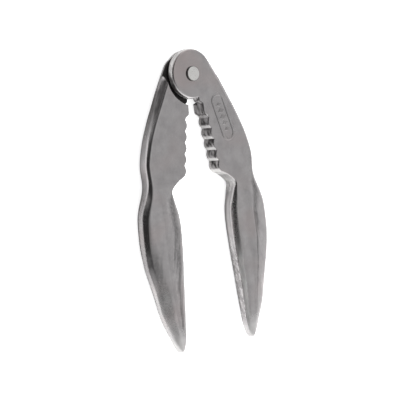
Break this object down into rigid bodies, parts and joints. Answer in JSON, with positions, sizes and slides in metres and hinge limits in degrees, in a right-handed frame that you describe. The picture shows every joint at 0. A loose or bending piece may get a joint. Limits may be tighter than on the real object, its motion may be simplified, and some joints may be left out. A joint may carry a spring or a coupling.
{
  "type": "nutcracker",
  "caption": "Hand nutcracker of cast metal: crossed lever arms with toothed jaws and tapering grips, joined at one end by a riveted half-lap hinge.",
  "frame": {"origin": "on the pivot axis, in the plane that the nutcracker lies on, at the end of the rivet's rear head", "axes": "+Z along the pivot axis, towards the front face; the arms point to -Y, spread about the Y axis as the nutcracker lies; +X is the side of right_arm, whose disc is in front"},
  "size_m": [0.0874, 0.164, 0.0126],
  "materials": {
    "arm": "tumbled and polished casting, soft satin shine",
    "rivet": "bright, smooth formed head"
  },
  "bodies": {
    "front_lever": {"right_arm": "arm", "rivet": "rivet"},
    "rear_lever": {"left_arm": "arm"}
  },
  "joints": [
    {"name": "pivot", "type": "hinge", "parent": "front_lever", "child": "rear_lever", "pos_m": [0, 0, 0.0063], "axis": [0, 0, -1], "range_deg": [-16.4, 172]}
  ]
}
